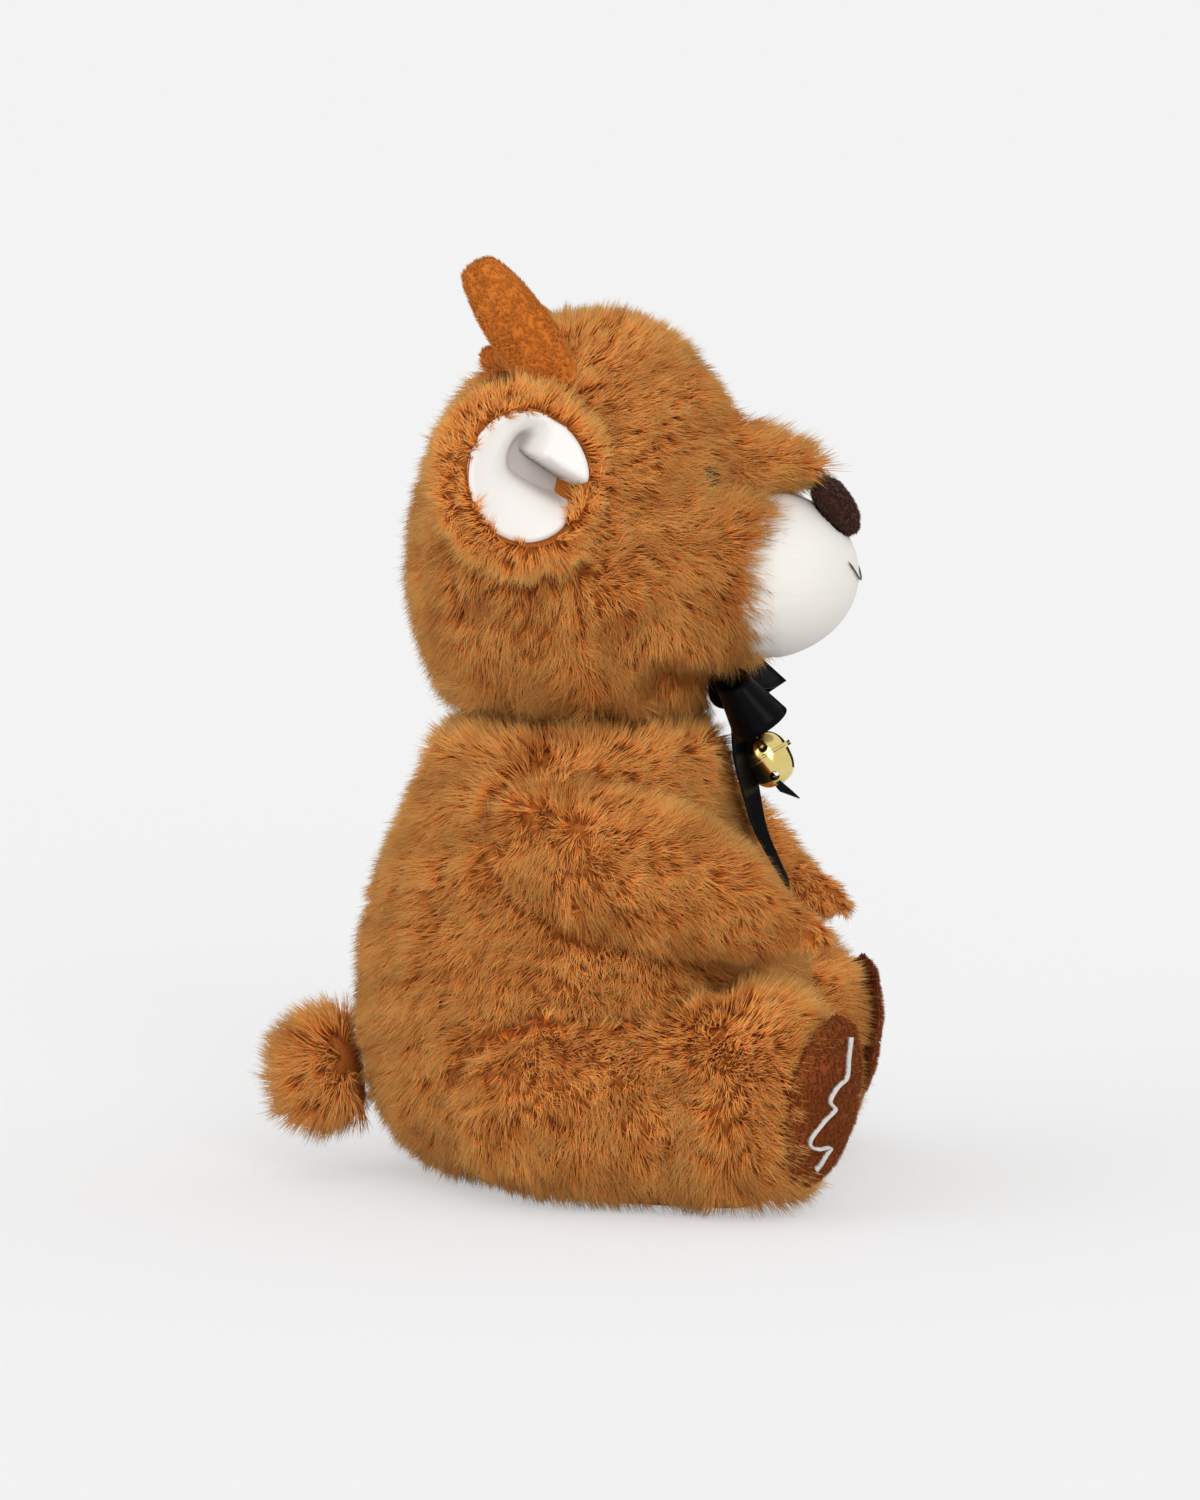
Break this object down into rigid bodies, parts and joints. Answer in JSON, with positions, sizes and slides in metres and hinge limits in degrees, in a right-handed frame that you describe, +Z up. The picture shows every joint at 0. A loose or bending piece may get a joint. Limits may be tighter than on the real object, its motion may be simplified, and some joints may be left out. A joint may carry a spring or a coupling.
{
  "type": "plush deer",
  "caption": "Seated plush deer with sewn covers over fibre stuffing, plush antlers, lined ears, a satin bow and a brass bell.",
  "frame": {"origin": "on the flat that the toy sits on, straight below the middle of the neck seam's width and 5 mm behind its centre", "axes": "+Z up, the toy faces -Y, its right side is at -X"},
  "size_m": [0.1734, 0.1799, 0.2715],
  "materials": {
    "brown_fur": "long pile plush",
    "antler_plush": "short pile plush",
    "white_plush": "smooth short plush",
    "sole_plush": "short pile plush",
    "nose_felt": "felt",
    "black_satin": "satin",
    "brass": "polished",
    "white_thread": "embroidery thread",
    "dark_thread": "embroidery thread",
    "eye_plastic": "gloss",
    "washer_plastic": "matte",
    "fibre": "polyester fibre"
  },
  "bodies": {
    "torso": {"body_cover": "brown_fur", "body_stuffing": "fibre", "seat_pouch": "fibre", "neck_band": "black_satin", "bow_knot": "black_satin", "bow_loop_right": "black_satin", "bow_loop_left": "black_satin", "ribbon_tail_right": "black_satin", "ribbon_tail_left": "black_satin", "bell_thread": "black_satin"},
    "head": {"head_cover": "brown_fur", "head_stuffing": "fibre", "muzzle_cover": "white_plush", "muzzle_stuffing": "fibre", "nose": "nose_felt", "mouth_stitch": "dark_thread", "eye_right": "eye_plastic", "eye_left": "eye_plastic", "eye_washer_right": "washer_plastic", "eye_washer_left": "washer_plastic", "antler_right": "antler_plush", "antler_left": "antler_plush", "antler_stuffing_right": "fibre", "antler_stuffing_left": "fibre"},
    "ear_right": {"ear_back_right": "brown_fur", "ear_lining_right": "white_plush"},
    "ear_left": {"ear_back_left": "brown_fur", "ear_lining_left": "white_plush"},
    "arm_right": {"arm_cover_right": "brown_fur", "arm_stuffing_right": "fibre"},
    "arm_left": {"arm_cover_left": "brown_fur", "arm_stuffing_left": "fibre"},
    "leg_right": {"leg_cover_right": "brown_fur", "leg_stuffing_right": "fibre", "foot_sole_right": "sole_plush", "sole_stitch_right": "white_thread"},
    "leg_left": {"leg_cover_left": "brown_fur", "leg_stuffing_left": "fibre", "foot_sole_left": "sole_plush", "sole_stitch_left": "white_thread"},
    "tail": {"tail_cover": "brown_fur", "tail_stuffing": "fibre"},
    "bell": {"bell_top": "brass", "bell_bottom": "brass", "bell_ring": "brass"},
    "pellet": {"bell_pellet": "brass"}
  },
  "joints": [
    {"name": "head_turn", "type": "hinge", "parent": "torso", "child": "head", "pos_m": [0, -0.005, 0.13715], "axis": [0, 0, 1], "range_deg": [-15, 15], "stiffness_Nm_per_rad": 0.12},
    {"name": "ear_flex_right", "type": "hinge", "parent": "head", "child": "ear_right", "pos_m": [-0.0515, -0.02, 0.208], "axis": [0, 0, 1], "range_deg": [0, 30], "stiffness_Nm_per_rad": 0.01},
    {"name": "ear_flex_left", "type": "hinge", "parent": "head", "child": "ear_left", "pos_m": [0.0515, -0.02, 0.208], "axis": [0, 0, -1], "range_deg": [0, 30], "stiffness_Nm_per_rad": 0.01},
    {"name": "arm_lift_right", "type": "hinge", "parent": "torso", "child": "arm_right", "pos_m": [-0.045, 0.022, 0.116], "axis": [-0.7726, 0.1671, -0.6125], "range_deg": [0, 25], "stiffness_Nm_per_rad": 0.06},
    {"name": "arm_lift_left", "type": "hinge", "parent": "torso", "child": "arm_left", "pos_m": [0.045, 0.022, 0.116], "axis": [-0.7726, -0.1671, 0.6125], "range_deg": [0, 25], "stiffness_Nm_per_rad": 0.06},
    {"name": "leg_splay_right", "type": "hinge", "parent": "torso", "child": "leg_right", "pos_m": [-0.0533, 0.0328, 0.033], "axis": [0, 0, -1], "range_deg": [0, 15], "stiffness_Nm_per_rad": 0.12},
    {"name": "leg_splay_left", "type": "hinge", "parent": "torso", "child": "leg_left", "pos_m": [0.0533, 0.0328, 0.033], "axis": [0, 0, 1], "range_deg": [0, 15], "stiffness_Nm_per_rad": 0.12},
    {"name": "tail_lift", "type": "hinge", "parent": "torso", "child": "tail", "pos_m": [0, 0.0605, 0.052], "axis": [1, 0, 0], "range_deg": [0, 22], "stiffness_Nm_per_rad": 0.01},
    {"name": "bell_swing", "type": "hinge", "parent": "torso", "child": "bell", "pos_m": [0, -0.0531, 0.1355], "axis": [-1, 0, 0], "range_deg": [0, 45]},
    {"name": "bell_rattle", "type": "slide", "parent": "bell", "child": "pellet", "axis": [0, 0.4969, 0.8678], "range_m": [0, 0.008]}
  ]
}
